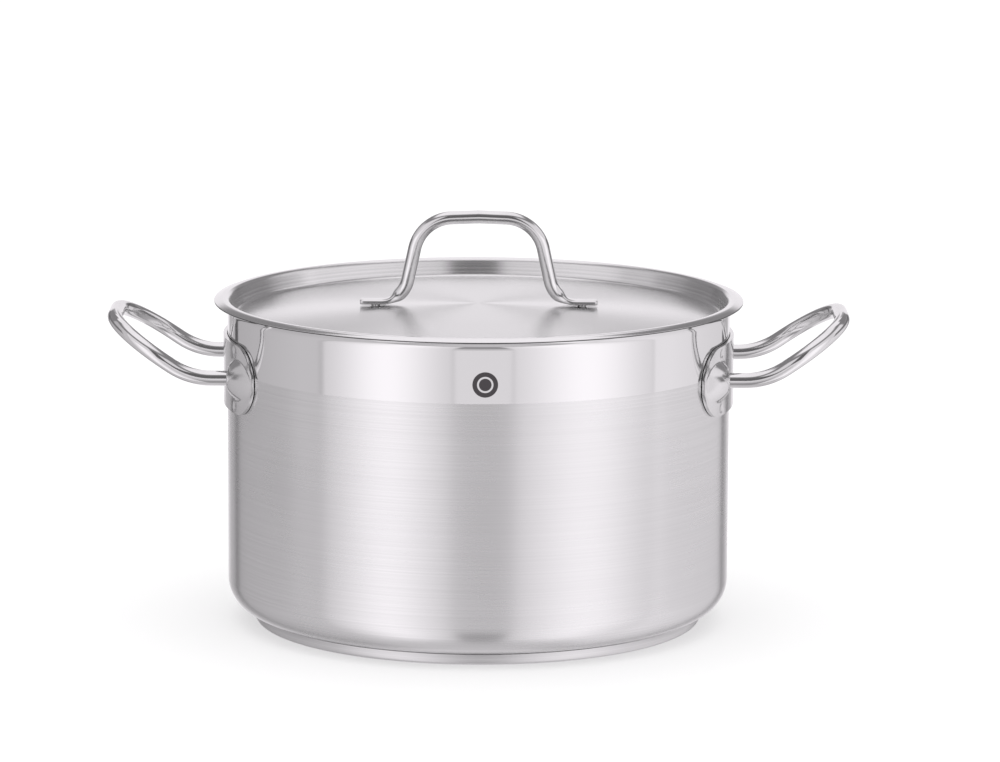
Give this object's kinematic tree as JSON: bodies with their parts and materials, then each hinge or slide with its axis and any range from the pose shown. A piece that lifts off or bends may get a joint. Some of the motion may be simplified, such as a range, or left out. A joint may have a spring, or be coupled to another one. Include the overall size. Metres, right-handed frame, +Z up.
{
  "type": "stock pot",
  "caption": "Stainless steel stock pot with a sandwich base, two welded loop handles and a lift-off lid, for boiling and simmering food.",
  "frame": {"origin": "centre of the base's underside, where the pot stands", "axes": "+Z up along the pot's axis, +X through the two side handles, +Y towards the back"},
  "size_m": [0.4152, 0.2972, 0.232],
  "materials": {
    "body_steel": "fine brushed satin wall with a polished band under the rim",
    "base_steel": "satin, turned",
    "base_aluminium": "plain, sealed inside the base",
    "handle_steel": "polished",
    "plate_steel": "polished, pressed",
    "weld_steel": "welded and brushed clean",
    "lid_steel": "fine circular brushing with a polished rim"
  },
  "bodies": {
    "pot": {"pot_body": "body_steel", "base_cap": "base_steel", "heat_spreader_disc": "base_aluminium", "left_handle_rod": "handle_steel", "right_handle_rod": "handle_steel", "left_handle_plate": "plate_steel", "right_handle_plate": "plate_steel", "left_handle_welds": "weld_steel", "right_handle_welds": "weld_steel", "left_plate_spot_welds": "weld_steel", "right_plate_spot_welds": "weld_steel"},
    "lid": {"lid_pan": "lid_steel", "lid_handle": "handle_steel", "lid_handle_spot_welds": "weld_steel"}
  },
  "joints": [
    {"name": "lid_lift", "type": "slide", "parent": "pot", "child": "lid", "axis": [0, 0, 1], "range_m": [0, 0.15]}
  ]
}
